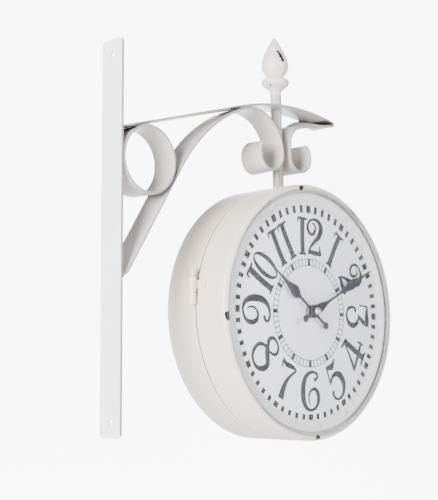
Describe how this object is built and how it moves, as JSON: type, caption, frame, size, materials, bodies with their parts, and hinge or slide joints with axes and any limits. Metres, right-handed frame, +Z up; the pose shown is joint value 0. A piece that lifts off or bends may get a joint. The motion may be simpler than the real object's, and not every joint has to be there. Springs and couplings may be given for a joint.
{
  "type": "station clock",
  "caption": "Double sided round station clock hung by a rod from a scrolled flat-strip wall bracket, with a hinged front, domed glass covers, spade hands and a spear finial.",
  "frame": {"origin": "on the wall, midway between the two screw holes of the wall bar", "axes": "+X out from the wall, +Z up, the front dial looks towards -Y and the rear dial towards +Y"},
  "size_m": [0.372, 0.1068, 0.4416],
  "materials": {
    "bracket_paint": "satin white paint with chips",
    "case_paint": "satin warm white paint",
    "zinc_steel": "zinc plated",
    "seal_rubber": "matte black",
    "cover_glass": "clear polished",
    "reveal_plastic": "satin pale grey",
    "dial_paint": "printed pale grey",
    "hand_paint": "dark satin enamel",
    "brass": "bare turned brass",
    "movement_plastic": "black moulded",
    "cell_jacket": "plain printed jacket"
  },
  "bodies": {
    "frame": {"wall_bar": "bracket_paint", "top_arm": "bracket_paint", "brace": "bracket_paint", "corner_ring": "bracket_paint", "hanger_rod": "bracket_paint", "finial": "bracket_paint", "rod_flare": "bracket_paint", "rod_nut": "zinc_steel", "rear_shell": "case_paint", "lap_band": "case_paint", "hinge_rear": "case_paint", "hinge_pin": "case_paint", "rear_hoop": "zinc_steel", "rear_gasket": "seal_rubber", "rear_glass": "cover_glass", "rear_reveal_ring": "reveal_plastic", "rear_dial": "dial_paint", "rear_washer": "seal_rubber", "rear_movement": "movement_plastic", "rear_bushing": "brass", "rear_shaft_plate": "brass", "rear_shaft_nut": "brass", "rear_battery": "cell_jacket", "rear_battery_contacts": "zinc_steel"},
    "door": {"front_shell": "case_paint", "hinge_front": "case_paint", "front_hoop": "zinc_steel", "front_gasket": "seal_rubber", "front_glass": "cover_glass", "front_reveal_ring": "reveal_plastic", "front_dial": "dial_paint", "front_washer": "seal_rubber", "front_movement": "movement_plastic", "front_bushing": "brass", "front_shaft_plate": "brass", "front_shaft_nut": "brass", "front_battery": "cell_jacket", "front_battery_contacts": "zinc_steel"},
    "front_hour": {"front_hour_tube": "brass", "front_hour_hand": "hand_paint"},
    "front_minute": {"front_minute_shaft": "brass", "front_minute_hand": "hand_paint", "front_hand_cap": "brass"},
    "front_knob": {"front_set_knob": "movement_plastic"},
    "rear_hour": {"rear_hour_tube": "brass", "rear_hour_hand": "hand_paint"},
    "rear_minute": {"rear_minute_shaft": "brass", "rear_minute_hand": "hand_paint", "rear_hand_cap": "brass"},
    "rear_knob": {"rear_set_knob": "movement_plastic"}
  },
  "joints": [
    {"name": "door_hinge", "type": "hinge", "parent": "frame", "child": "door", "pos_m": [0.0978, -0.009, -0.0498], "axis": [0, 0, -1], "range_deg": [0, 95]},
    {"name": "front_minute_turn", "type": "hinge", "parent": "door", "child": "front_minute", "pos_m": [0.237, -0.0495, -0.065], "axis": [0, 1, 0], "continuous": true},
    {"name": "front_hour_turn", "type": "hinge", "parent": "door", "child": "front_hour", "pos_m": [0.237, -0.0495, -0.065], "axis": [0, 1, 0], "continuous": true},
    {"name": "front_knob_turn", "type": "hinge", "parent": "door", "child": "front_knob", "pos_m": [0.237, -0.0255, -0.052], "axis": [0, 1, 0], "continuous": true},
    {"name": "rear_minute_turn", "type": "hinge", "parent": "frame", "child": "rear_minute", "pos_m": [0.237, 0.0345, -0.065], "axis": [0, -1, 0], "continuous": true},
    {"name": "rear_hour_turn", "type": "hinge", "parent": "frame", "child": "rear_hour", "pos_m": [0.237, 0.0345, -0.065], "axis": [0, -1, 0], "continuous": true},
    {"name": "rear_knob_turn", "type": "hinge", "parent": "frame", "child": "rear_knob", "pos_m": [0.237, 0.0105, -0.052], "axis": [0, -1, 0], "continuous": true}
  ],
  "couplings": [
    {"joint": "front_hour_turn", "follows": "front_minute_turn", "ratio": 0.083333},
    {"joint": "front_knob_turn", "follows": "front_minute_turn", "ratio": 1},
    {"joint": "rear_hour_turn", "follows": "rear_minute_turn", "ratio": 0.083333},
    {"joint": "rear_knob_turn", "follows": "rear_minute_turn", "ratio": 1}
  ]
}
